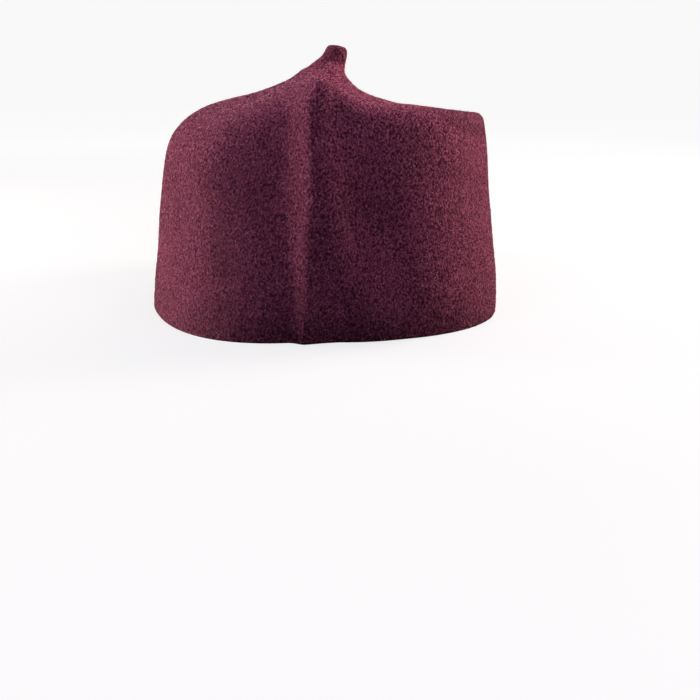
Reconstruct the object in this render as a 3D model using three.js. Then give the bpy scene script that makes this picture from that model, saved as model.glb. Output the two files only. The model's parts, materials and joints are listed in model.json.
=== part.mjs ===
// A soft brimless cap of thick fulled wool felt, made in one piece. The side wall turns over a shoulder
// into a tented top, which is drawn up into a short stalk. Flat folding has left a crease down the front
// and the back, and a ridge between them through the stalk.
// Millimetres, +Z up. The rim rests on z = 0, and the front crease faces -Y.
import * as THREE from "three";

// Driving dimensions
const RIM_WIDTH = 171; // outside, side to side, for an inside girth of 58 cm
const RIM_DEPTH = 197; // outside, front to back, without the creases
const CROWN_HEIGHT = 90; // rim to the edge of the top
const FELT = 2.6; // thickness of the felt
const STALK_RADIUS = 5.6; // at its waist
const STALK_FOOT = 111; // height where the stalk leaves the top
const STALK_LENGTH = 10.6;

// How finely the surface is divided
const MERIDIANS = 76;
const FRONT_CROWDING = 0.25; // how much closer the meridians stand at the front than at the back
const CREASE_CROWDING = 0.2; // how much closer they stand beside the creases
const RINGS_PER_SECTION = 2;

// Sections of the crown from the rim up.
// up: height of the middle, as a share of the crown's. wide, deep: half sizes, as shares of the rim's.
// aside: the middle's shift to the right, mm. tilt: degrees by which the right side is raised.
// square: 2 is an ellipse, more is fuller at the corners.
const CROWN_SECTIONS = [
  { up: 0.0, wide: 1.0, deep: 1.0, aside: 0.0, tilt: 0.0, square: 2.36 },
  { up: 0.1, wide: 0.987, deep: 0.994, aside: 0.6, tilt: 0.3, square: 2.36 },
  { up: 0.28, wide: 0.968, deep: 0.98, aside: 1.2, tilt: 0.4, square: 2.36 },
  { up: 0.47, wide: 0.945, deep: 0.958, aside: 0.9, tilt: 0.4, square: 2.35 },
  { up: 0.66, wide: 0.922, deep: 0.936, aside: 1.0, tilt: 0.8, square: 2.35 },
  { up: 0.77, wide: 0.91, deep: 0.922, aside: 1.0, tilt: 3.0, square: 2.35 },
  { up: 0.88, wide: 0.889, deep: 0.902, aside: 1.4, tilt: 2.0, square: 2.34 },
  { up: 0.957, wide: 0.842, deep: 0.866, aside: 3.5, tilt: 0.4, square: 2.3 },
  { up: 1.002, wide: 0.766, deep: 0.805, aside: 6.8, tilt: -1.8, square: 2.25 },
  { up: 1.025, wide: 0.65, deep: 0.714, aside: 10.0, tilt: -3.4, square: 2.2 },
  { up: 1.054, wide: 0.47, deep: 0.53, aside: 10.0, tilt: -7.2, square: 2.1 },
  { up: 1.108, wide: 0.286, deep: 0.316, aside: 7.0, tilt: -12.8, square: 2.0 },
  { up: 1.158, wide: 0.174, deep: 0.174, aside: 3.9, tilt: -20.0, square: 2.0 },
];

// Sections of the stalk from its foot up.
// up: height above the foot, as a share of its length. thick, deep: shares of its radius.
const STALK_SECTIONS = [
  { up: -0.22, thick: 1.76, deep: 2.4, aside: 3.5, tilt: -28.0 },
  { up: 0.0, thick: 1.3, deep: 1.8, aside: 3.6, tilt: -32.0 },
  { up: 0.2, thick: 1.1, deep: 1.35, aside: 4.0, tilt: -31.0 },
  { up: 0.44, thick: 1.0, deep: 1.05, aside: 5.1, tilt: -23.0 },
  { up: 0.72, thick: 0.93, deep: 0.95, aside: 6.0, tilt: -16.0 },
  { up: 0.9, thick: 0.62, deep: 0.63, aside: 6.4, tilt: -10.0 },
];
const STALK_TIP = { up: 0.972, aside: 6.5 };

// Folds, hollows and swells pressed into the felt, each running up the cap.
// way: whether it stands out of the felt or lifts it straight up. crest: sharp or soft.
// bearing: degrees from the front, to the right as positive. left, right: reach to each side, mm.
// rounding: how blunt a sharp crest is, mm. Those are given at the rim, the top's edge and the stalk's foot,
// or the bearing at the fold's own bends.
// bow: 1 for a flat left or right side of a sharp crest, more for a hollow one.
// rise: height, mm, at the rim, wall, brow, edge, top, neck and the stalk's foot.
const FOLDS = [
  {
    name: "front crease", way: "out", crest: "sharp",
    bends: [0, 0.45, 0.55, 1], bearing: [-0.9, 0.7, -1.2, -36], left: [6.5, 11, 16], right: [14, 22, 14],
    rounding: [1.2, 2.4, 2], bow: [1.6, 1.3], rise: [3.2, 4.9, 5.3, 3.8, 1.4, 0, 0],
  },
  {
    name: "front gable", way: "up", crest: "sharp",
    bends: [0, 0.45, 0.55, 1], bearing: [-0.9, 0.7, -1.2, -36], left: [44, 44, 12], right: [24, 24, 14],
    rounding: [3.4, 8, 2.6], bow: [2, 2], rise: [0, 0, 5.8, 8.4, 9.4, 6.2, 0],
  },
  {
    name: "front brow", way: "up", crest: "soft",
    bearing: [4, 4, 4], left: [70, 70, 30], right: [85, 85, 30],
    rise: [0, 0, 2.6, 4.5, 2.6, 0, 0],
  },
  {
    name: "left hollow", way: "out", crest: "soft",
    bearing: [-8.5, -8.5, -25], left: [16, 23, 20], right: [7, 9, 12],
    rise: [0.2, -0.7, -2, -1.6, 0, 0, 0],
  },
  {
    name: "left swell", way: "out", crest: "soft",
    bearing: [-27, -29, -40], left: [21, 21, 16], right: [14, 14, 14],
    rise: [0.2, 1.2, 1.7, 0.7, 0, 0, 0],
  },
  {
    name: "right hollow", way: "out", crest: "soft",
    bearing: [24, 12, 20], left: [11, 12, 12], right: [13, 16, 20],
    rise: [-0.4, -1.1, 0.5, 2.2, 0.6, 0, 0],
  },
  {
    name: "right swell", way: "out", crest: "soft",
    bearing: [12.5, 0, 20], left: [10, 10, 12], right: [11, 11, 12],
    rise: [0.3, 2.9, 2, 0.4, 0, 0, 0],
  },
  {
    name: "right edge", way: "out", crest: "soft",
    bearing: [45, 45, 58], left: [82, 82, 20], right: [98, 98, 20],
    rise: [0, 0, 0.5, 3.2, -0.7, 0, 0],
  },
  {
    name: "left shoulder", way: "out", crest: "soft",
    bearing: [-45, -45, -45], left: [50, 50, 20], right: [40, 40, 20],
    rise: [0, 0, -0.4, -1.4, -0.4, 0, 0],
  },
  {
    name: "left hem", way: "out", crest: "soft",
    bearing: [-20, -22, -31], left: [58, 56, 20], right: [40, 36, 20],
    rise: [5.2, 0.6, 0, 0, 0, 0, 0],
  },
  {
    name: "right hem", way: "out", crest: "soft",
    bearing: [55, 55, 55], left: [48, 48, 20], right: [40, 40, 20],
    rise: [4, 0.6, 0, 0, 0, 0, 0],
  },
  {
    name: "front hem", way: "out", crest: "soft",
    bearing: [14, 14, 14], left: [75, 70, 20], right: [85, 80, 20],
    rise: [2.8, 1.2, 0.2, 0, 0, 0, 0],
  },
  {
    name: "back crease", way: "out", crest: "sharp",
    bearing: [180, 181, 216], left: [20, 22, 20], right: [20, 22, 20],
    rounding: [3, 2.2, 2], bow: [2, 2], rise: [1.4, 2.2, 2.4, 2.2, 1, 0, 0],
  },
  {
    name: "back gable", way: "up", crest: "sharp",
    bearing: [180, 181, 216], left: [36, 36, 14], right: [36, 36, 14],
    rounding: [3.6, 3.6, 1.4], bow: [2, 2], rise: [0, 0, 6, 9, 9, 5, 0],
  },
];
// Shares of the way from the rim to the stalk's foot at which those columns are given.
const REACH_STATIONS = [0, 0.55, 1];
const RISE_STATIONS = [0, 0.28, 0.47, 0.55, 0.65, 0.88, 1];

// The rim turns in a little all round, and more at the front. mm, and degrees to the right.
const HEM_ROLL = { all: 0.9, front: 2.8, bearing: 9, height: 16, reach: 58 };

const FELT_COLOUR = 0x6b2a3c;

const radians = THREE.MathUtils.degToRad;

// One row per section, from the rim to the head of the stalk, all in millimetres.
function sectionRows() {
  const crown = CROWN_SECTIONS.map((s) => ({
    height: s.up * CROWN_HEIGHT,
    halfWidth: (s.wide * RIM_WIDTH) / 2,
    halfDepth: (s.deep * RIM_DEPTH) / 2,
    aside: s.aside,
    tilt: radians(s.tilt),
    square: s.square,
  }));
  const stalk = STALK_SECTIONS.map((s) => ({
    height: STALK_FOOT + s.up * STALK_LENGTH,
    halfWidth: s.thick * STALK_RADIUS,
    halfDepth: s.deep * STALK_RADIUS,
    aside: s.aside,
    tilt: radians(s.tilt),
    square: 2,
  }));
  return [...crown, ...stalk];
}

// Passes a smooth curve through every column of the rows and divides each stretch evenly.
// face is the slope of the outward normal: 0 on an upright wall, a right angle on a flat top.
// share is how far up the felt the section lies, from the rim at 0 to the stalk's foot at 1.
function smoothSections(rows) {
  const columns = Object.keys(rows[0]);
  const along = [0];
  for (let i = 1; i < rows.length; i++) {
    const inward = rows[i - 1].halfDepth - rows[i].halfDepth;
    const upward = rows[i].height - rows[i - 1].height;
    along.push(along[i - 1] + Math.hypot(inward, upward));
  }
  const samples = rows.flatMap((row) => columns.map((c) => row[c]));
  const curve = new THREE.CubicInterpolant(along, samples, columns.length);
  const at = (t) => Object.fromEntries([...curve.evaluate(t)].map((value, c) => [columns[c], value]));
  const toFoot = along[rows.findIndex((row) => row.height >= STALK_FOOT)];
  const sections = [];
  for (let i = 0; i < rows.length; i++) {
    const next = along[i + 1] ?? along[i];
    const steps = i < rows.length - 1 ? RINGS_PER_SECTION : 1;
    for (let k = 0; k < steps; k++) {
      const t = along[i] + ((next - along[i]) * k) / steps;
      const before = at(Math.max(t - 0.5, 0));
      const after = at(Math.min(t + 0.5, along.at(-1)));
      const face = Math.atan2(before.halfDepth - after.halfDepth, after.height - before.height);
      sections.push({ ...at(t), face, share: Math.min(t / toFoot, 1) });
    }
  }
  return sections;
}

// A fold's column of three or of its bends, or of seven, at a section.
function reachAt(section, values, stations = REACH_STATIONS) {
  return new THREE.LinearInterpolant(stations, values, 1).evaluate(section.share)[0];
}

function crestAt(section, fold) {
  return radians(reachAt(section, fold.bearing, fold.bends));
}

function riseAt(section, values) {
  return new THREE.CubicInterpolant(RISE_STATIONS, values, 1).evaluate(section.share)[0];
}

const wave = (off) => (1 + Math.cos(Math.PI * Math.min(off, 1))) / 2; // 1 in the middle, 0 at its reach

// Height of a fold across it, from 1 on its crest to 0 at its reach.
function foldShape(section, fold, turn, size) {
  const leftSide = turn < 0;
  const reach = reachAt(section, leftSide ? fold.left : fold.right);
  const off = Math.min(Math.abs(turn * size) / reach, 1);
  if (fold.crest === "soft") return wave(off);
  const blunt = reachAt(section, fold.rounding) / reach;
  const fallen = (Math.hypot(off, blunt) - blunt) / (Math.hypot(1, blunt) - blunt);
  return (1 - fallen) ** fold.bow[leftSide ? 0 : 1];
}

const turnFrom = (bearing, crest) => Math.atan2(Math.sin(bearing - crest), Math.cos(bearing - crest));

// Heights of the folds out of the felt and straight up, at a bearing from the front on a section.
function foldRise(section, bearing) {
  const size = (section.halfWidth + section.halfDepth) / 2;
  const rise = { out: 0, up: 0 };
  for (const fold of FOLDS) {
    const turn = turnFrom(bearing, crestAt(section, fold));
    rise[fold.way] += foldShape(section, fold, turn, size) * riseAt(section, fold.rise);
  }
  const nearRim = Math.max(1 - section.height / HEM_ROLL.height, 0) ** 2;
  const toFront = Math.abs(turnFrom(bearing, radians(HEM_ROLL.bearing)) * size) / HEM_ROLL.reach;
  rise.out -= (HEM_ROLL.all + HEM_ROLL.front * wave(toFront)) * nearRim;
  return rise;
}

// A point of the felt on a section at a bearing, at a depth under its outer face.
function feltPoint(section, bearing, depth) {
  const across = Math.sin(bearing);
  const back = -Math.cos(bearing);
  const { halfWidth, halfDepth, square } = section;
  const span = Math.abs(across / halfWidth) ** square + Math.abs(back / halfDepth) ** square;
  const reach = span ** (-1 / square);
  const outward = new THREE.Vector2(
    (Math.sign(across) * Math.abs((across * reach) / halfWidth) ** (square - 1)) / halfWidth,
    (Math.sign(back) * Math.abs((back * reach) / halfDepth) ** (square - 1)) / halfDepth,
  ).normalize();
  const rise = foldRise(section, bearing);
  const out = rise.out - depth;
  const point = new THREE.Vector3(
    across * reach + outward.x * out * Math.cos(section.face),
    back * reach + outward.y * out * Math.cos(section.face),
    out * Math.sin(section.face),
  );
  point.applyAxisAngle(new THREE.Vector3(0, 1, 0), -section.tilt);
  return point.add(new THREE.Vector3(section.aside, 0, section.height + rise.up));
}

// Bearings of a section's meridians: they run along the two creases and crowd together beside them.
function bearings(section) {
  const crest = (name) => crestAt(section, FOLDS.find((fold) => fold.name === name));
  const front = crest("front crease");
  const back = crest("back crease") - Math.PI;
  return Array.from({ length: MERIDIANS }, (_, i) => {
    const even = (2 * Math.PI * i) / MERIDIANS;
    const turn = even - FRONT_CROWDING * Math.sin(even) - CREASE_CROWDING * Math.sin(2 * even);
    return turn + THREE.MathUtils.lerp(front, back, (1 - Math.cos(turn)) / 2);
  });
}

// Closed surface through rings of equal count, with a single point at each end.
function shellGeometry(firstPoint, rings, lastPoint) {
  const count = rings[0].length;
  const points = [firstPoint, ...rings.flat(), lastPoint];
  const corner = (ring, i) => 1 + ring * count + (i % count);
  const last = rings.length - 1;
  const index = [];
  for (let i = 0; i < count; i++) {
    index.push(0, corner(0, i), corner(0, i + 1));
    for (let ring = 0; ring < last; ring++) {
      const [a, b] = [corner(ring, i), corner(ring, i + 1)];
      const [c, d] = [corner(ring + 1, i), corner(ring + 1, i + 1)];
      index.push(a, c, b, b, c, d);
    }
    index.push(corner(last, i + 1), corner(last, i), points.length - 1);
  }
  const geometry = new THREE.BufferGeometry().setFromPoints(points);
  geometry.setIndex(index);
  geometry.computeVertexNormals();
  return geometry;
}

// The felt's outer face from the stalk's tip down to the rim, then its inner face up to the top.
function feltCapGeometry() {
  const sections = smoothSections(sectionRows());
  const rim = sections[0];
  const ring = (section, depth) => {
    const points = bearings(section).map((bearing) => feltPoint(section, bearing, depth));
    if (section === rim) points.forEach((point) => point.setZ(0)); // cut flat
    return points;
  };
  const hollow = sections.filter((section) => section.halfDepth > STALK_RADIUS + 4 * FELT);
  const roof = hollow.at(-1);
  const outerRings = sections.map((section) => ring(section, 0)).reverse();
  const innerRings = hollow.map((section) => ring(section, FELT));
  const tip = new THREE.Vector3(STALK_TIP.aside, 0, STALK_FOOT + STALK_TIP.up * STALK_LENGTH);
  const roofMiddle = new THREE.Vector3(roof.aside, 0, roof.height - FELT);
  const geometry = shellGeometry(tip, [...outerRings, ...innerRings], roofMiddle);
  geometry.computeBoundingBox();
  const middle = geometry.boundingBox.getCenter(new THREE.Vector3());
  return geometry.translate(-middle.x, -middle.y, 0);
}

const feltCap = new THREE.Mesh(
  feltCapGeometry(),
  new THREE.MeshStandardMaterial({ color: FELT_COLOUR, roughness: 0.95, metalness: 0 }),
);
feltCap.name = "felt_cap";

const cap = new THREE.Group();
cap.add(feltCap);

export default cap;
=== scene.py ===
import json
import math

import bmesh
import bpy
import numpy as np
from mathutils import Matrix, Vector, noise

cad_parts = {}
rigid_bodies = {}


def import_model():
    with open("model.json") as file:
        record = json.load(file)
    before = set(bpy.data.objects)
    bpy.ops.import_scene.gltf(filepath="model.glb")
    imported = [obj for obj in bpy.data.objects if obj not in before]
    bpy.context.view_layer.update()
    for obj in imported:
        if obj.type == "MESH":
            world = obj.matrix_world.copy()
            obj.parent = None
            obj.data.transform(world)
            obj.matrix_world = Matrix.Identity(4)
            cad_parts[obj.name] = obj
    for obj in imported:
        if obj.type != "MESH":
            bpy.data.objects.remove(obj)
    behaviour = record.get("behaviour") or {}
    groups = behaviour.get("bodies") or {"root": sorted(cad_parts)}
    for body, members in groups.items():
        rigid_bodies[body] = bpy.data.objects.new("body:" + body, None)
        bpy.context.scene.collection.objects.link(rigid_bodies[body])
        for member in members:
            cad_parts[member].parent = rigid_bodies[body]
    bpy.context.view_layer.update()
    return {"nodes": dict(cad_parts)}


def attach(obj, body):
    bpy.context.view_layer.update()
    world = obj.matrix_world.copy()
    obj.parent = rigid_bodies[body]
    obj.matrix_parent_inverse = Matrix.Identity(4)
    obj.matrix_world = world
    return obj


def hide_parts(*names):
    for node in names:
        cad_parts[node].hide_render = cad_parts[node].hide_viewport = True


bpy.ops.object.select_all(action="SELECT")
bpy.ops.object.delete()  # the start-up cube, lamp and camera
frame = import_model()

mm = 0.001
level = 0.01 * mm  # a corner lower than this lies on the rim's plane
scene = bpy.context.scene
scene.view_settings.view_transform = "Standard"
print("frame loaded, nodes:", sorted(frame["nodes"]))

cap = {
    "rimWidth": 171.0,  # outside, side to side
    "rimDepth": 197.0,  # outside, front to back
    "crownHeight": 90.0,  # rim to the edge of the top
    "felt": 2.6,  # thickness
    "rimRounding": 0.5,
    "rimSteps": 2,
    "placed": (-0.1, 1.97),  # in plan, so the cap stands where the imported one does
    "spokes": 96,  # edges round the first ring
    "smoothing": 2,
    # how far the rim turns in all round and more at the front, over what height and within what reach
    "hemRoll": {"all": 0.9, "front": 2.8, "bearing": 9.0, "height": 16.0, "reach": 58.0},
    # up, wide, deep: shares of the height and the rim; aside: to the right; tilt: in degrees
    # square: 2 is an ellipse, more is fuller at the corners
    "crown": (
        (0.0, 1.0, 1.0, 0.0, 0.0, 2.36),
        (0.1, 0.987, 0.994, 0.6, 0.3, 2.36),
        (0.28, 0.968, 0.98, 1.2, 0.4, 2.36),
        (0.47, 0.945, 0.958, 0.9, 0.4, 2.35),
        (0.66, 0.922, 0.936, 1.0, 0.8, 2.35),
        (0.77, 0.911, 0.923, 1.0, 3.0, 2.35),
        (0.88, 0.892, 0.905, 1.4, 2.0, 2.34),
        (0.963, 0.847, 0.871, 3.5, 0.4, 2.3),
        (1.009, 0.77, 0.809, 6.8, -1.8, 2.25),
        (1.029, 0.65, 0.714, 10.0, -3.4, 2.2),
        (1.054, 0.47, 0.53, 10.0, -7.2, 2.1),
        (1.106, 0.284, 0.314, 7.0, -12.8, 2.0),
        (1.158, 0.172, 0.172, 3.9, -20.0, 2.0),
    ),
    "stalkRadius": 5.6,
    "stalkFoot": 111.0,
    "stalkLength": 10.6,
    # up: share of the stalk; thick, deep: shares of its radius; aside, tilt
    "stalk": (
        (-0.22, 1.74, 2.4, 3.5, -28.0),
        (0.0, 1.3, 1.8, 3.6, -32.0),
        (0.2, 1.1, 1.35, 4.0, -31.0),
        (0.44, 1.0, 1.05, 5.1, -23.0),
        (0.74, 0.96, 0.98, 6.0, -16.0),
        (0.9, 0.74, 0.75, 6.4, -10.0),
    ),
    "stalkSquare": 2.0,
    "stalkTip": (0.94, 6.5, 0.01),  # up, aside, and how far up the felt past the last ring
    "hollowUpTo": 0.86,  # share of the way to the stalk's foot where the inside ends
}

# bearing: degrees from the front, to the right; left and right reach, rounding and rise in mm
# bearing, reach and rounding are at the rim, the top's edge and the stalk, or the bearing is at the bends
# rise is at the rim, wall, brow, edge, top, neck and stalk
# bow: 1 for a flat side of a crest, more for a hollow one
folds = {
    "reachStations": (0.0, 0.55, 1.0),
    "riseStations": (0.0, 0.28, 0.47, 0.55, 0.65, 0.88, 1.0),
    "pressed": (
        {"name": "front crease", "way": "out", "crest": "sharp",
         "bends": (0, 0.45, 0.55, 1), "bearing": (-0.9, 0.7, -1.2, -36),
         "left": (6.5, 11, 16), "right": (14, 22, 14), "rounding": (1.2, 2.4, 2), "bow": (1.6, 1.3),
         "rise": (3.4, 5.3, 4.4, 3.3, 1.4, 0, 0)},
        {"name": "front gable", "way": "up", "crest": "sharp",
         "bends": (0, 0.45, 0.55, 1), "bearing": (-0.9, 0.7, -1.2, -36),
         "left": (44, 44, 12), "right": (22, 21, 16), "rounding": (3.4, 8, 5), "bow": (2, 2),
         "rise": (0, 0, 5.8, 8.4, 9.4, 6.2, 0)},
        {"name": "front brow", "way": "up", "crest": "soft", "bearing": (4, 4, 4),
         "left": (70, 70, 30), "right": (85, 85, 30), "rise": (0, 0, 2.6, 4.5, 2.6, 0, 0)},
        {"name": "left hollow", "way": "out", "crest": "soft", "bearing": (-8.5, -8.5, -25),
         "left": (16, 23, 20), "right": (7, 9, 12), "rise": (0.2, -0.7, -2.0, -1.6, 0, 0, 0)},
        {"name": "left swell", "way": "out", "crest": "soft", "bearing": (-27, -29, -40),
         "left": (21, 21, 16), "right": (14, 14, 14), "rise": (0.2, 1.2, 1.7, 0.7, 0, 0, 0)},
        {"name": "right hollow", "way": "out", "crest": "soft", "bearing": (24, 12, 20),
         "left": (11, 12, 12), "right": (13, 16, 20), "rise": (-0.4, -1.1, 0.4, 2.6, 0.6, 0, 0)},
        {"name": "right dip", "way": "up", "crest": "soft", "bearing": (13, 13, 25),
         "left": (9, 9, 8), "right": (16, 16, 10), "rise": (0, 0, -0.5, -1.4, -0.6, 0, 0)},
        {"name": "right swell", "way": "out", "crest": "soft", "bearing": (12.5, 0, 20),
         "left": (10, 10, 12), "right": (11, 11, 12), "rise": (0.3, 2.9, 1.0, 0.1, 0, 0, 0)},
        {"name": "right edge", "way": "out", "crest": "soft", "bearing": (45, 45, 58),
         "left": (82, 82, 20), "right": (98, 98, 20), "rise": (0, 0, 0.5, 3.2, -0.7, 0, 0)},
        {"name": "left shoulder", "way": "out", "crest": "soft", "bearing": (-45, -45, -45),
         "left": (50, 50, 20), "right": (40, 40, 20), "rise": (0, 0, -0.4, -1.4, -0.4, 0, 0)},
        {"name": "left hem", "way": "out", "crest": "soft", "bearing": (-20, -22, -31),
         "left": (58, 56, 20), "right": (40, 36, 20), "rise": (5.2, 0.6, 0, 0, 0, 0, 0)},
        {"name": "right hem", "way": "out", "crest": "soft", "bearing": (55, 55, 55),
         "left": (48, 48, 20), "right": (40, 40, 20), "rise": (4.0, 0.6, 0, 0, 0, 0, 0)},
        {"name": "front hem", "way": "out", "crest": "soft", "bearing": (14, 14, 14),
         "left": (75, 70, 20), "right": (85, 80, 20), "rise": (2.8, 1.2, 0.2, 0, 0, 0, 0)},
        {"name": "back crease", "way": "out", "crest": "sharp", "bearing": (180, 181, 216),
         "left": (20, 22, 20), "right": (20, 22, 20), "rounding": (3, 2.2, 2), "bow": (2, 2),
         "rise": (1.4, 2.2, 2.4, 2.2, 1, 0, 0)},
        {"name": "back gable", "way": "up", "crest": "sharp", "bearing": (180, 181, 216),
         "left": (36, 36, 14), "right": (36, 36, 14), "rounding": (3.6, 3.6, 1.4), "bow": (2, 2),
         "rise": (0, 0, 6, 9, 9, 5, 0)},
    ),
}


def applyModifier(piece, kind, **settings):
    modifier = piece.modifiers.new(kind.lower(), kind)
    for key, value in settings.items():
        setattr(modifier, key, value)
    bpy.context.view_layer.objects.active = piece
    bpy.ops.object.modifier_apply(modifier=modifier.name)


def ringRows():
    rows = []
    for up, wide, deep, aside, tilt, square in cap["crown"]:
        rows.append({
            "middle": Vector((aside, 0, up * cap["crownHeight"])) * mm,
            "halfWidth": wide * cap["rimWidth"] / 2 * mm,
            "halfDepth": deep * cap["rimDepth"] / 2 * mm,
            "tilt": math.radians(tilt),
            "square": square,
        })
    for up, thick, deep, aside, tilt in cap["stalk"]:
        rows.append({
            "middle": Vector((aside, 0, cap["stalkFoot"] + up * cap["stalkLength"])) * mm,
            "halfWidth": thick * cap["stalkRadius"] * mm,
            "halfDepth": deep * cap["stalkRadius"] * mm,
            "tilt": math.radians(tilt),
            "square": cap["stalkSquare"],
        })
    # share: how far up the felt a ring lies, from 0 at the rim to 1 at the stalk's foot
    along = [0.0]
    for low, high in zip(rows, rows[1:]):
        inward = low["halfDepth"] - high["halfDepth"]
        along.append(along[-1] + math.hypot(inward, high["middle"].z - low["middle"].z))
    foot = len(cap["crown"]) + [row[0] for row in cap["stalk"]].index(0.0)
    for row, length in zip(rows, along):
        row["share"] = length / along[foot]
    return rows


def markRing(piece, share, ring):
    mesh = bmesh.from_edit_mesh(piece.data)
    shareLayer = mesh.verts.layers.float["share"]
    ringLayer = mesh.verts.layers.int["ring"]
    for vert in mesh.verts:
        if vert.select:
            vert[shareLayer] = share
            vert[ringLayer] = ring


def squareRing(piece, row):
    mesh = bmesh.from_edit_mesh(piece.data)
    middle, square = row["middle"], row["square"]
    for vert in mesh.verts:
        if vert.select:
            across = abs(vert.co.x - middle.x) / row["halfWidth"]
            deep = abs(vert.co.y - middle.y) / row["halfDepth"]
            fuller = (across ** square + deep ** square) ** (-1 / square)
            vert.co.x = middle.x + (vert.co.x - middle.x) * fuller * math.hypot(across, deep)
            vert.co.y = middle.y + (vert.co.y - middle.y) * fuller * math.hypot(across, deep)


def selectRing(piece, ring):
    mesh = bmesh.from_edit_mesh(piece.data)
    ringLayer = mesh.verts.layers.int["ring"]
    for vert in mesh.verts:
        vert.select = vert[ringLayer] == ring
    mesh.select_flush_mode()
    bmesh.update_edit_mesh(piece.data)


def drawUpRings(rows):
    # one edge ring at the rim, drawn up ring by ring to the stalk and closed at its tip
    bpy.ops.object.select_all(action="DESELECT")
    bpy.ops.mesh.primitive_circle_add(vertices=cap["spokes"], radius=1.0, fill_type="NOTHING")
    piece = bpy.context.object
    piece.name = "felt_cap_body"
    bpy.ops.object.mode_set(mode="EDIT")
    bpy.ops.mesh.select_mode(type="VERT")
    bpy.ops.mesh.select_all(action="SELECT")
    mesh = bmesh.from_edit_mesh(piece.data)
    mesh.verts.layers.float.new("share")
    mesh.verts.layers.int.new("ring")
    bmesh.update_edit_mesh(piece.data)
    wide, deep, middle = 1.0, 1.0, Vector()
    for ring, row in enumerate(rows):
        if ring:
            lift = row["middle"] - middle
            bpy.ops.mesh.extrude_region_move(TRANSFORM_OT_translate={"value": lift})
        grow = (row["halfWidth"] / wide, row["halfDepth"] / deep, 1.0)
        bpy.ops.transform.resize(value=grow, center_override=row["middle"])
        markRing(piece, row["share"], ring)
        wide, deep, middle = row["halfWidth"], row["halfDepth"], row["middle"]
    up, aside, further = cap["stalkTip"]
    tip = Vector((aside, 0, cap["stalkFoot"] + up * cap["stalkLength"])) * mm
    bpy.ops.mesh.extrude_region_move(TRANSFORM_OT_translate={"value": tip - middle})
    bpy.ops.mesh.merge(type="CENTER")
    markRing(piece, rows[-1]["share"] + further, len(rows))
    for ring, row in enumerate(rows):
        selectRing(piece, ring)
        squareRing(piece, row)
        if row["tilt"]:
            bpy.ops.transform.rotate(value=row["tilt"], orient_axis="Y", center_override=row["middle"])
    bpy.ops.mesh.select_all(action="SELECT")
    bpy.ops.mesh.normals_make_consistent(inside=False)
    bpy.ops.object.mode_set(mode="OBJECT")
    rounds = cap["smoothing"]
    applyModifier(piece, "SUBSURF", levels=rounds, render_levels=rounds)
    return piece


def readVerts(source, field, width):
    values = np.empty(len(source) * width)
    source.foreach_get(field, values)
    return values.reshape(-1, width) if width > 1 else values


def lineInside(piece):
    # the felt's inner face: a copy of the crown, shrunk by the thickness, roofed and joined at the rim
    mesh = piece.data
    outward = mesh.attributes.new("outward", "FLOAT_VECTOR", "POINT")
    normals = readVerts(mesh.vertex_normals, "vector", 3)
    outward.data.foreach_set("vector", normals.ravel())
    bpy.ops.object.mode_set(mode="EDIT")
    bpy.ops.mesh.select_mode(type="FACE")
    shell = bmesh.from_edit_mesh(mesh)
    shareLayer = shell.verts.layers.float["share"]
    shell.faces.layers.int.new("inner")
    for face in shell.faces:
        face.select = max(vert[shareLayer] for vert in face.verts) < cap["hollowUpTo"]
    bmesh.update_edit_mesh(mesh)
    bpy.ops.mesh.duplicate()
    shell = bmesh.from_edit_mesh(mesh)
    innerLayer = shell.faces.layers.int["inner"]
    for face in shell.faces:
        face[innerLayer] = int(face.select)
    bpy.ops.transform.shrink_fatten(value=-cap["felt"] * mm, use_even_offset=True)
    bpy.ops.mesh.flip_normals()
    bpy.ops.mesh.select_mode(type="EDGE")
    halfWayUp = cap["crownHeight"] / 2 * mm
    selectOpenEdges(piece, lambda z: z > halfWayUp)
    bpy.ops.mesh.edge_face_add()
    bpy.ops.mesh.poke()
    selectOpenEdges(piece, lambda z: z < halfWayUp)
    bpy.ops.transform.resize(value=(1, 1, 0), center_override=(0, 0, 0))
    bpy.ops.mesh.bridge_edge_loops()
    bpy.ops.object.mode_set(mode="OBJECT")


def selectOpenEdges(piece, heightFits):
    bpy.ops.mesh.select_all(action="DESELECT")
    mesh = bmesh.from_edit_mesh(piece.data)
    for edge in mesh.edges:
        if edge.is_boundary and all(heightFits(vert.co.z) for vert in edge.verts):
            edge.select = True
    mesh.select_flush_mode()
    bmesh.update_edit_mesh(piece.data)


def alongStations(stations, values, share):
    # a curve through the values that never overshoots them
    place, value = np.array(stations, float), np.array(values, float)
    step = np.diff(value) / np.diff(place)
    slope = np.zeros(len(value))
    same = step[:-1] * step[1:] > 0
    slope[1:-1][same] = 2 / (1 / step[:-1][same] + 1 / step[1:][same])
    k = np.clip(np.searchsorted(place, share, side="right") - 1, 0, len(place) - 2)
    span = place[k + 1] - place[k]
    t = np.clip((share - place[k]) / span, 0, 1)
    rising = t * t * (3 - 2 * t)
    bend = span * (t * (1 - t) ** 2 * slope[k] - t * t * (1 - t) * slope[k + 1])
    return value[k] * (1 - rising) + value[k + 1] * rising + bend


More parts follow.
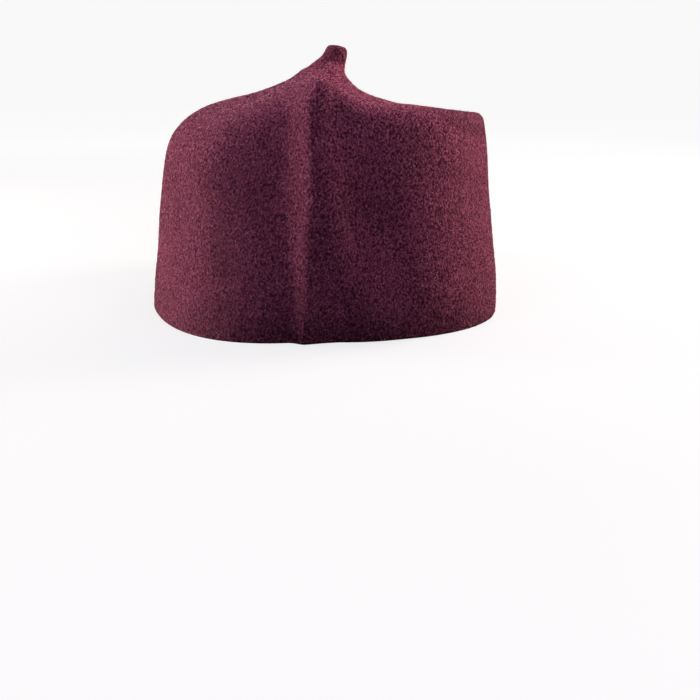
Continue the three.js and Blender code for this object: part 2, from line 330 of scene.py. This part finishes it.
def pressFolds(piece, rows):
    mesh = piece.data
    spots = readVerts(mesh.vertices, "co", 3)
    outward = readVerts(mesh.attributes["outward"].data, "vector", 3)
    share = readVerts(mesh.attributes["share"].data, "value", 1)
    ringShare = [row["share"] for row in rows]
    aside = np.interp(share, ringShare, [row["middle"].x for row in rows])
    radius = [(row["halfWidth"] + row["halfDepth"]) / 2 / mm for row in rows]
    girth = np.interp(share, ringShare, radius)
    bearing = np.arctan2(spots[:, 0] - aside, -spots[:, 1])
    rise = {"out": np.zeros(len(spots)), "up": np.zeros(len(spots))}
    for fold in folds["pressed"]:
        middle = np.interp(share, fold.get("bends", folds["reachStations"]), fold["bearing"])
        left = np.interp(share, folds["reachStations"], fold["left"])
        right = np.interp(share, folds["reachStations"], fold["right"])
        turn = bearing - np.radians(middle)
        turn = np.arctan2(np.sin(turn), np.cos(turn))
        reach = np.where(turn < 0, left, right)
        away = np.minimum(np.abs(turn) * girth / reach, 1)
        if fold["crest"] == "sharp":
            blunt = np.interp(share, folds["reachStations"], fold["rounding"]) / reach
            fallen = (np.hypot(away, blunt) - blunt) / (np.hypot(1, blunt) - blunt)
            shape = (1 - fallen) ** np.where(turn < 0, *fold["bow"])
        else:
            shape = (1 + np.cos(np.pi * away)) / 2
        rise[fold["way"]] += shape * alongStations(folds["riseStations"], fold["rise"], share)
    roll = cap["hemRoll"]
    turn = bearing - math.radians(roll["bearing"])
    nearFront = (1 + np.cos(np.pi * np.minimum(np.abs(turn) * girth / roll["reach"], 1))) / 2
    nearRim = np.clip(1 - spots[:, 2] / (roll["height"] * mm), 0, 1) ** 2
    rise["out"] -= (roll["all"] + roll["front"] * nearFront) * nearRim
    onRim = spots[:, 2] < level
    spots += outward * rise["out"][:, None] * mm
    spots[:, 2] += rise["up"] * mm
    spots[onRim, 2] = 0
    spots += np.array((*cap["placed"], 0)) * mm
    mesh.vertices.foreach_set("co", spots.ravel())
    mesh.update()


def roundRim(piece):
    bpy.ops.object.mode_set(mode="EDIT")
    bpy.ops.mesh.select_mode(type="EDGE")
    bpy.ops.mesh.select_all(action="DESELECT")
    mesh = bmesh.from_edit_mesh(piece.data)
    for edge in mesh.edges:
        flat = [face for face in edge.link_faces if all(vert.co.z < level for vert in face.verts)]
        edge.select = len(flat) == 1
    bmesh.update_edit_mesh(piece.data)
    bpy.ops.mesh.bevel(offset=cap["rimRounding"] * mm, segments=cap["rimSteps"], affect="EDGES")
    sortByPlace(piece)
    bpy.ops.object.mode_set(mode="OBJECT")


def sortByPlace(piece):
    # the bevel leaves its faces in any order; sorted, every run scatters the same fibres on them
    mesh = bmesh.from_edit_mesh(piece.data)
    mesh.verts.sort(key=lambda vert: placeNumber(vert.co))
    mesh.faces.sort(key=lambda face: placeNumber(face.calc_center_median()))
    mesh.verts.index_update()
    mesh.faces.index_update()
    bmesh.update_edit_mesh(piece.data)


sorting = {"decimals": 2, "perMm": 10}  # of the height in mm, and how much one mm counts beside a radian


def placeNumber(spot):
    height = round(spot.z / mm, sorting["decimals"])
    return height * sorting["perMm"] + math.atan2(spot.x, -spot.y)


# the unevenness that shaping by hand leaves: height and size of each, in mm
hand = {"swell": (0.35, 18.0), "lumps": (0.12, 5.0), "flatNearRim": 5.0}


def leaveUneven(piece):
    mesh = piece.data
    normals = readVerts(mesh.vertex_normals, "vector", 3)
    spots = readVerts(mesh.vertices, "co", 3)
    for k, spot in enumerate(spots):
        calm = min(spot[2] / (hand["flatNearRim"] * mm), 1)
        lift = 0
        for height, size in (hand["swell"], hand["lumps"]):
            lift += height * noise.noise(Vector(spot) / (size * mm))
        spots[k] += normals[k] * lift * calm * mm
    mesh.vertices.foreach_set("co", spots.ravel())
    mesh.update()


def makeCap():
    rows = ringRows()
    piece = drawUpRings(rows)
    print("crown drawn up:", len(piece.data.polygons), "faces")
    lineInside(piece)
    pressFolds(piece, rows)
    print("folds pressed:", len(folds["pressed"]))
    roundRim(piece)
    leaveUneven(piece)
    for name in ("outward", "share", "ring"):
        piece.data.attributes.remove(piece.data.attributes[name])
    bpy.ops.object.select_all(action="DESELECT")
    piece.select_set(True)
    bpy.ops.object.shade_smooth()
    print("cap done:", len(piece.data.polygons), "faces")
    return piece


felt = {
    "name": "burgundy_wool_felt",
    "deep": (0.022, 0.002, 0.007, 1),  # gaps between the fibres
    "body": (0.17, 0.0215, 0.055, 1),
    "fleck": (0.92, 0.24, 0.41, 1),  # single pale fibres
    # scales are per metre
    "patches": {"scale": 40.0, "detail": 4.0, "from": (0.3, 0.7), "dye": (0.86, 1.12)},
    "gaps": {"scale": 3300.0, "detail": 2.0, "ramp": (0.43, 0.57)},
    "fibres": ((2600.0, 0.0, 0.06), (3500.0, 7.3, 0.065)),  # scale, start, half width of a fibre
    "fibreDetail": 1.0,
    "core": 0.3,  # share of the half width that is fully pale
    "broken": {"scale": 1200.0, "start": 3, "from": (0.46, 0.6)},  # where a fibre dips under
    # the stalk's upper part is darker, painted shade: a point on its edge, the edge's slant and softness
    "stalkPaintedShade": {"from": (4.5, 0.0, 113.3), "slant": 25.6, "soft": 1.4, "darker": 0.84},
    "footPaintedLight": {"reach": 12.0, "paler": 1.2},  # painted light: the stalk's foot is made paler
    "hemPaintedShade": {"height": 26.0, "darker": 0.81},  # painted shade: the hem is made darker
    "upright": 0.75,  # fibres brushed a little upright
    "relief": 0.5,  # mm
    "reliefStrength": 0.8,
    "shader": {
        "Roughness": 0.94,
        "Specular IOR Level": 0.06,
        "Sheen Weight": 0.18,
        "Sheen Roughness": 0.45,
        "Sheen Tint": (1.0, 0.36, 0.45, 1),
    },
}


def addNode(tree, kind, place, **sockets):
    node = tree.nodes.new(kind)
    node.location = place
    for key, value in sockets.items():
        node.inputs[key.replace("_", " ")].default_value = value
    return node


def newFinish(name, settings):
    material = bpy.data.materials.new(name)
    material.use_nodes = True
    shader = material.node_tree.nodes["Principled BSDF"]
    for socket, value in settings.items():
        shader.inputs[socket].default_value = value
    return material, material.node_tree, shader


def joinMath(tree, operation, first, second, place):
    node = tree.nodes.new("ShaderNodeMath")
    node.operation = operation
    node.location = place
    for socket, value in zip(node.inputs, (first, second)):
        if isinstance(value, float):
            socket.default_value = value
        else:
            tree.links.new(value, socket)
    return node.outputs["Value"]


def addRange(tree, value, source, target, place):
    node = tree.nodes.new("ShaderNodeMapRange")
    node.location = place
    for name, bound in zip(("From Min", "From Max", "To Min", "To Max"), (*source, *target)):
        node.inputs[name].default_value = bound
    tree.links.new(value, node.inputs["Value"])
    return node.outputs["Result"]


def addSeededNoise(tree, place, vector, scale, detail, start):
    node = tree.nodes.new("ShaderNodeTexNoise")
    node.location = place
    node.noise_dimensions = "4D"
    node.inputs["Scale"].default_value = scale
    node.inputs["Detail"].default_value = detail
    node.inputs["W"].default_value = start
    tree.links.new(vector, node.inputs["Vector"])
    return node.outputs["Fac"]


def fibreLines(tree, vector, scale, start, halfWidth, height):
    # the level lines of a smooth noise wander like felted fibres, and a second noise breaks them up
    wander = addSeededNoise(tree, (-1150, height), vector, scale, felt["fibreDetail"], start)
    off = joinMath(tree, "SUBTRACT", wander, 0.5, (-980, height))
    off = joinMath(tree, "ABSOLUTE", off, 0.0, (-820, height))
    line = addRange(tree, off, (halfWidth, halfWidth * felt["core"]), (0.0, 1.0), (-660, height))
    broken, below = felt["broken"], height - 160
    dips = addSeededNoise(tree, (-1150, below), vector, broken["scale"], 0.0, start + broken["start"])
    shown = addRange(tree, dips, broken["from"], (0.0, 1.0), (-660, below))
    return joinMath(tree, "MULTIPLY", line, shown, (-480, height))


def paintedShadeAndLight(tree, vector):
    # painted shade and light: 1 on most of the felt, less on the stalk's upper part and at the hem
    # (painted shade), more at the stalk's foot (painted light)
    stalkPaintedShade, footPaintedLight, hemPaintedShade = felt["stalkPaintedShade"], felt["footPaintedLight"], felt["hemPaintedShade"]
    slant = math.radians(stalkPaintedShade["slant"])
    part = addNode(tree, "ShaderNodeMapping", (-1400, -560), Rotation=(0, slant, 0))
    part.vector_type = "TEXTURE"  # measured from the edge, along the stalk's lean
    part.inputs["Location"].default_value = [value * mm for value in stalkPaintedShade["from"]]
    tree.links.new(vector, part.inputs["Vector"])
    up = addNode(tree, "ShaderNodeSeparateXYZ", (-1200, -560))
    tree.links.new(part.outputs["Vector"], up.inputs["Vector"])
    soft, reach = stalkPaintedShade["soft"] * mm, footPaintedLight["reach"] * mm
    paler = footPaintedLight["paler"]
    darker = stalkPaintedShade["darker"] / paler
    stalk = addRange(tree, up.outputs["Z"], (-soft, soft), (1.0, darker), (-900, -560))
    foot = addRange(tree, up.outputs["Z"], (-reach, -soft), (1.0, paler), (-900, -800))
    height = addNode(tree, "ShaderNodeSeparateXYZ", (-1200, -1040))
    tree.links.new(vector, height.inputs["Vector"])
    hemTop = hemPaintedShade["height"] * mm
    hem = addRange(tree, height.outputs["Z"], (0.0, hemTop), (hemPaintedShade["darker"], 1.0), (-900, -1040))
    stalk = joinMath(tree, "MULTIPLY", stalk, foot, (-700, -600))
    return joinMath(tree, "MULTIPLY", stalk, hem, (-500, -600))


def scaleColour(tree, colour, factor, place):
    node = tree.nodes.new("ShaderNodeVectorMath")
    node.operation = "SCALE"
    node.location = place
    tree.links.new(colour, node.inputs[0])
    tree.links.new(factor, node.inputs["Scale"])
    return node.outputs["Vector"]


def makeFelt():
    material, tree, shader = newFinish(felt["name"], felt["shader"])
    link = tree.links.new
    where = addNode(tree, "ShaderNodeTexCoord", (-1600, 0))
    lay = addNode(tree, "ShaderNodeMapping", (-1400, 0), Scale=(1, 1, felt["upright"]))
    link(where.outputs["Object"], lay.inputs["Vector"])
    brushed = lay.outputs["Vector"]

    flecks = None
    for k, (scale, start, halfWidth) in enumerate(felt["fibres"]):
        lines = fibreLines(tree, brushed, scale, start, halfWidth, 900 - 360 * k)
        flecks = joinMath(tree, "MAXIMUM", flecks, lines, (-300, 700)) if flecks else lines

    scale, detail, ramp = felt["gaps"].values()
    gaps = addNode(tree, "ShaderNodeTexNoise", (-1150, -280), Scale=scale, Detail=detail)
    link(brushed, gaps.inputs["Vector"])
    ground = addNode(tree, "ShaderNodeValToRGB", (-900, -280))
    for element, place, colour in zip(ground.color_ramp.elements, ramp, (felt["deep"], felt["body"])):
        element.position = place
        element.color = colour
    link(gaps.outputs["Fac"], ground.inputs["Fac"])

    # slow patches where the dye took more or less
    scale, detail, source, target = felt["patches"].values()
    patches = addNode(tree, "ShaderNodeTexNoise", (-1150, 120), Scale=scale, Detail=detail)
    link(where.outputs["Object"], patches.inputs["Vector"])
    dye = addRange(tree, patches.outputs["Fac"], source, target, (-900, 120))
    # painted shade on the stalk's upper part and the hem, painted light at the stalk's foot
    shade = paintedShadeAndLight(tree, where.outputs["Object"])
    tone = joinMath(tree, "MULTIPLY", dye, shade, (-700, 120))

    fibred = tree.nodes.new("ShaderNodeMix")
    fibred.data_type = "RGBA"
    fibred.location = (-120, 100)
    fibred.inputs[7].default_value = felt["fleck"]  # 6 and 7 in and 2 out are the node's colours
    link(flecks, fibred.inputs[0])
    link(ground.outputs["Color"], fibred.inputs[6])
    link(scaleColour(tree, fibred.outputs[2], tone, (60, 100)), shader.inputs["Base Color"])

    height = joinMath(tree, "ADD", flecks, gaps.outputs["Fac"], (-300, -400))
    bump = addNode(tree, "ShaderNodeBump", (-120, -400), Distance=felt["relief"] * mm)
    bump.inputs["Strength"].default_value = felt["reliefStrength"]
    link(height, bump.inputs["Height"])
    link(bump.outputs["Normal"], shader.inputs["Normal"])
    return material


nap = {
    "name": "felt_cap_nap",
    "length": 1.15,  # mm, of one loose fibre
    "thick": 0.27,
    "arch": 0.13,  # how far its middle stands off the felt
    "curl": 0.14,  # and to one side
    "sides": 3,  # of its section
    "perSquareMm": 0.42,
    "stretch": ((0.55, 0.7, 0.6), (1.5, 1.2, 1.3)),  # shortest and longest, thinnest and thickest
    "ramp": (0.4, 0.75),  # between dull and pale
    "lift": 17.0,  # degrees out of the felt's face
    "seed": 7,
    "dull": (0.08, 0.008, 0.026, 1),
    "pale": (1.0, 0.36, 0.5, 1),
    "lint": (1.0, 0.74, 0.76, 1),  # a stray white fibre here and there
    "lintFrom": 0.9996,
    "shader": {"Roughness": 0.9, "Specular IOR Level": 0.06},
    # in shares of the map's width and height
    "map": {"edge": 0.04, "tones": 0.88, "rows": 0.86, "columns": 3, "step": (0.02, 0.03)},
}


def modelFibre():
    # one loose fibre: a thin three-sided strand with pointed ends, arched and curled to one side
    bpy.ops.object.select_all(action="DESELECT")
    reach, arch, curl = nap["length"] / 2 * mm, nap["arch"] * mm, nap["curl"] * mm
    radius = nap["thick"] / 2 * mm
    bpy.ops.mesh.primitive_circle_add(vertices=nap["sides"], radius=radius, fill_type="NOTHING")
    fibre = bpy.context.object
    fibre.name = "loose_fibre"
    bpy.ops.object.mode_set(mode="EDIT")
    bpy.ops.mesh.select_mode(type="VERT")
    bpy.ops.mesh.select_all(action="SELECT")
    bpy.ops.transform.rotate(value=math.pi / 2, orient_axis="Y", center_override=(0, 0, 0))
    bpy.ops.transform.translate(value=(0, 0, arch))
    bpy.ops.mesh.extrude_region_move(TRANSFORM_OT_translate={"value": (reach, -curl, -arch)})
    bpy.ops.mesh.merge(type="CENTER")
    mesh = bmesh.from_edit_mesh(fibre.data)
    for vert in mesh.verts:
        vert.select = vert.co.x < reach / 2
    mesh.select_flush_mode()
    bmesh.update_edit_mesh(fibre.data)
    bpy.ops.mesh.extrude_region_move(TRANSFORM_OT_translate={"value": (-reach, -curl, -arch)})
    bpy.ops.mesh.merge(type="CENTER")
    bpy.ops.mesh.select_all(action="SELECT")
    bpy.ops.mesh.normals_make_consistent(inside=False)
    bpy.ops.object.mode_set(mode="OBJECT")
    bpy.ops.object.shade_smooth()
    return fibre


def addRandom(tree, kind, low, high, seed, place):
    node = tree.nodes.new("FunctionNodeRandomValue")
    node.data_type = kind
    node.location = place
    sockets = [socket for socket in node.inputs if socket.enabled]
    sockets[0].default_value = low
    sockets[1].default_value = high
    node.inputs["Seed"].default_value = seed
    return next(socket for socket in node.outputs if socket.enabled)


def scatterNodes(fibre):
    tree = bpy.data.node_groups.new("scatter_fibres", "GeometryNodeTree")
    tree.interface.new_socket("Geometry", in_out="INPUT", socket_type="NodeSocketGeometry")
    tree.interface.new_socket("Geometry", in_out="OUTPUT", socket_type="NodeSocketGeometry")
    link = tree.links.new
    start = tree.nodes.new("NodeGroupInput")
    points = addNode(tree, "GeometryNodeDistributePointsOnFaces", (200, 0))
    points.inputs["Density"].default_value = nap["perSquareMm"] / mm ** 2
    points.inputs["Seed"].default_value = nap["seed"]
    link(start.outputs["Geometry"], points.inputs["Mesh"])
    strand = addNode(tree, "GeometryNodeObjectInfo", (200, -300))
    strand.inputs["Object"].default_value = fibre
    lift = math.radians(nap["lift"])
    least, most = (-lift, -lift, 0), (lift, lift, math.tau)
    spin = addRandom(tree, "FLOAT_VECTOR", least, most, nap["seed"] + 1, (200, -500))
    turned = tree.nodes.new("FunctionNodeEulerToRotation")
    link(spin, turned.inputs["Euler"])
    laid = tree.nodes.new("FunctionNodeRotateRotation")
    laid.rotation_space = "LOCAL"
    link(points.outputs["Rotation"], laid.inputs["Rotation"])
    link(turned.outputs["Rotation"], laid.inputs["Rotate By"])
    stretch = addRandom(tree, "FLOAT_VECTOR", *nap["stretch"], nap["seed"] + 2, (200, -700))
    placed = addNode(tree, "GeometryNodeInstanceOnPoints", (500, 0))
    link(points.outputs["Points"], placed.inputs["Points"])
    link(strand.outputs["Geometry"], placed.inputs["Instance"])
    link(laid.outputs["Rotation"], placed.inputs["Rotation"])
    link(stretch, placed.inputs["Scale"])
    toned = addNode(tree, "GeometryNodeStoreNamedAttribute", (700, 0), Name="tone")
    toned.data_type = "FLOAT"
    toned.domain = "INSTANCE"
    link(placed.outputs["Instances"], toned.inputs["Geometry"])
    link(addRandom(tree, "FLOAT", 0.0, 1.0, nap["seed"] + 3, (500, -300)), toned.inputs["Value"])
    solid = addNode(tree, "GeometryNodeRealizeInstances", (900, 0))
    link(toned.outputs["Geometry"], solid.inputs["Geometry"])
    end = addNode(tree, "NodeGroupOutput", (1100, 0))
    link(solid.outputs["Geometry"], end.inputs["Geometry"])
    return tree


def makeNap(body):
    fibre = modelFibre()
    bpy.ops.object.select_all(action="DESELECT")
    body.select_set(True)
    bpy.context.view_layer.objects.active = body
    bpy.ops.object.duplicate()
    piece = bpy.context.object
    piece.name = nap["name"]
    dropInside(piece)
    applyModifier(piece, "NODES", node_group=scatterNodes(fibre))
    bpy.data.objects.remove(fibre)
    mesh = piece.data
    spots = readVerts(mesh.vertices, "co", 3)
    spots[:, 2] = np.maximum(spots[:, 2], 0)  # none below the rim
    mesh.vertices.foreach_set("co", spots.ravel())
    mesh.update()
    layMap(mesh)
    print("nap done:", len(mesh.polygons), "faces")
    return piece


def dropInside(piece):
    # the outer face alone carries the nap
    bpy.ops.object.mode_set(mode="EDIT")
    bpy.ops.mesh.select_mode(type="FACE")
    bpy.ops.mesh.select_all(action="DESELECT")
    mesh = bmesh.from_edit_mesh(piece.data)
    innerLayer = mesh.faces.layers.int["inner"]
    for face in mesh.faces:
        underside = all(vert.co.z < cap["rimRounding"] * mm for vert in face.verts)
        face.select = underside or face[innerLayer] == 1
    bmesh.update_edit_mesh(piece.data)
    bpy.ops.mesh.delete(type="FACE")
    bpy.ops.object.mode_set(mode="OBJECT")


def layMap(mesh):
    # each fibre has a small patch of the map, placed by its tone, so that like tones share a colour
    sheet = nap["map"]
    corners = nap["sides"] + 2  # with the two pointed ends
    tone = readVerts(mesh.attributes["tone"].data, "value", 1)
    count = len(mesh.vertices) // corners
    corner = np.arange(len(mesh.vertices)) % corners
    row = np.repeat(np.random.default_rng(nap["seed"]).random(count), corners)
    across = sheet["edge"] + sheet["tones"] * tone + sheet["step"][0] * (corner % sheet["columns"])
    up = sheet["edge"] + sheet["rows"] * row + sheet["step"][1] * (corner // sheet["columns"])
    loopVerts = np.empty(len(mesh.loops), int)
    mesh.loops.foreach_get("vertex_index", loopVerts)
    layer = mesh.uv_layers.new(name="OFBake")
    layer.uv.foreach_set("vector", np.stack([across, up], 1)[loopVerts].ravel())


def makeNapFinish():
    material, tree, shader = newFinish("loose_wool_fibre", nap["shader"])
    tone = addNode(tree, "ShaderNodeAttribute", (-700, 0))
    tone.attribute_name = "tone"
    dye = addNode(tree, "ShaderNodeValToRGB", (-450, 0))
    colours = (nap["dull"], nap["pale"])
    for element, place, colour in zip(dye.color_ramp.elements, nap["ramp"], colours):
        element.position = place
        element.color = colour
    dye.color_ramp.elements.new(nap["lintFrom"]).color = nap["pale"]
    dye.color_ramp.elements.new(1.0).color = nap["lint"]
    tree.links.new(tone.outputs["Fac"], dye.inputs["Fac"])
    where = addNode(tree, "ShaderNodeTexCoord", (-1600, -300))
    # painted shade on the stalk's upper part and the hem, painted light at the stalk's foot
    shade = paintedShadeAndLight(tree, where.outputs["Object"])
    paintedDye = scaleColour(tree, dye.outputs["Color"], shade, (-150, 0))
    tree.links.new(paintedDye, shader.inputs["Base Color"])
    return material


stage = {
    "sides": 96,
    "radius": 3.0,
    "curve": 0.8,
    "steps": 12,  # in the curve
    "wall": 3.0,
    "shader": {
        "Base Color": (0.22, 0.22, 0.222, 1),
        "Roughness": 0.9,
        "Emission Color": (1, 1, 1, 1),
    },
    "glow": (0.76, 0.94),  # near the cap and on the wall, so that the sweep is evenly pale
    "glowReach": (0.25, 0.95),  # how far out each of them lies
}
board = {"sides": 48, "radius": 6.0, "below": 0.02, "shader": {"Base Color": (0.02, 0.02, 0.02, 1)}}


def glowByPlace(tree, shader):
    where = addNode(tree, "ShaderNodeTexCoord", (-900, 0))
    out = addNode(tree, "ShaderNodeVectorMath", (-700, 0))
    out.operation = "LENGTH"
    tree.links.new(where.outputs["Object"], out.inputs[0])
    glow = addRange(tree, out.outputs["Value"], stage["glowReach"], stage["glow"], (-500, 0))
    tree.links.new(glow, shader.inputs["Emission Strength"])


def makeStage():
    # a round floor that sweeps up into a wall all round
    bpy.ops.object.select_all(action="DESELECT")
    radius, height, steps = stage["radius"], 0.0, stage["steps"]
    bpy.ops.mesh.primitive_circle_add(vertices=stage["sides"], radius=radius, fill_type="NGON")
    floor = bpy.context.object
    floor.name = "floor"
    bpy.ops.object.mode_set(mode="EDIT")
    bpy.ops.mesh.select_mode(type="EDGE")
    bpy.ops.mesh.select_all(action="SELECT")
    for step in range(1, steps + 1):
        turn = math.pi / 2 * step / steps
        outTo = stage["radius"] + stage["curve"] * math.sin(turn)
        upTo = stage["curve"] * (1 - math.cos(turn))
        bpy.ops.mesh.extrude_edges_move(TRANSFORM_OT_translate={"value": (0, 0, upTo - height)})
        wider = outTo / radius
        bpy.ops.transform.resize(value=(wider, wider, 1), center_override=(0, 0, upTo))
        radius, height = outTo, upTo
    bpy.ops.mesh.extrude_edges_move(TRANSFORM_OT_translate={"value": (0, 0, stage["wall"])})
    bpy.ops.mesh.select_all(action="SELECT")
    bpy.ops.mesh.normals_make_consistent(inside=True)
    bpy.ops.object.mode_set(mode="OBJECT")
    bpy.ops.object.shade_smooth()
    paint, tree, shader = newFinish("pale_sweep", stage["shader"])
    glowByPlace(tree, shader)
    floor.data.materials.append(paint)
    floor.visible_diffuse = False  # the sweep throws no light back up at the felt
    floor.visible_glossy = False
    print("floor done")


def makeBoard():
    # under the floor, so that the room's light comes only from above it
    bpy.ops.object.select_all(action="DESELECT")
    low = (0, 0, -board["below"])
    bpy.ops.mesh.primitive_circle_add(
        vertices=board["sides"], radius=board["radius"], fill_type="NGON", location=low)
    sheet = bpy.context.object
    sheet.name = "dark_board"
    sheet.data.materials.append(newFinish("matt_black", board["shader"])[0])
    print("board done")


lamps = {
    "left": {"at": (-0.6, 0.02, 0.05), "watts": 7.3, "size": 0.3, "tint": (1, 0.93, 0.86)},
    "front_left": {"at": (-0.45, -0.55, 0.55), "watts": 1.1, "size": 0.3, "tint": (0.94, 0.88, 1.14)},
    "front": {"at": (0.35, -0.5, 0.6), "watts": 1.2, "size": 0.4, "tint": (0.9, 0.88, 1.24)},
    "right": {"at": (0.6, 0.0, 0.1), "watts": 0.7, "size": 0.3, "tint": (1, 0.82, 0.8)},
    "right_high": {"at": (0.6, 0.15, 0.3), "watts": 1.08, "size": 0.3, "tint": (1, 0.82, 0.74)},
    "back_right": {"at": (0.6, 0.33, 0.4), "watts": 4.3, "size": 0.3, "tint": (1, 0.82, 0.74)},
    "top": {"at": (0.1, 0.35, 0.8), "watts": 1.62, "size": 0.4, "tint": (1, 0.95, 0.95)},
}
room = {"aim": (0, 0, 0.06), "fill": {"Color": (0.85, 0.9, 1.1, 1), "Strength": 0.012}}


def makeLight():
    for name, lamp in lamps.items():
        light = bpy.data.lights.new("lamp_" + name, "AREA")
        light.energy = lamp["watts"]
        light.size = lamp["size"]
        light.color = lamp["tint"]
        spot = bpy.data.objects.new("lamp_" + name, light)
        scene.collection.objects.link(spot)
        spot.location = lamp["at"]
        aim = Vector(room["aim"]) - spot.location
        spot.rotation_euler = aim.to_track_quat("-Z", "Y").to_euler()
    world = bpy.data.worlds.new("room")
    world.use_nodes = True
    for socket, value in room["fill"].items():
        world.node_tree.nodes["Background"].inputs[socket].default_value = value
    scene.world = world
    print("lamps:", sorted(lamps))


view = {
    "lens": 50.0,
    "film": 36.0,
    "nearest": 0.01,
    "at": (0.03835, -0.48722, 0.114),
    "downward": 16.6,
    "toTheLeft": 3.07,
}


def makeCamera():
    camera = bpy.data.cameras.new("camera")
    camera.lens = view["lens"]
    camera.sensor_width = view["film"]
    camera.clip_start = view["nearest"]
    spot = bpy.data.objects.new("camera", camera)
    scene.collection.objects.link(spot)
    spot.location = view["at"]
    spot.rotation_euler = (math.radians(90 - view["downward"]), 0, math.radians(view["toTheLeft"]))
    scene.camera = spot
    print("camera set")


makeCamera()
makeStage()
makeBoard()
makeLight()
capBody = makeCap()
capBody.data.materials.append(makeFelt())
capNap = makeNap(capBody)
capNap.data.materials.clear()
capNap.data.materials.append(makeNapFinish())
for piece in (capBody, capNap):
    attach(piece, "root")
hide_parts("felt_cap")
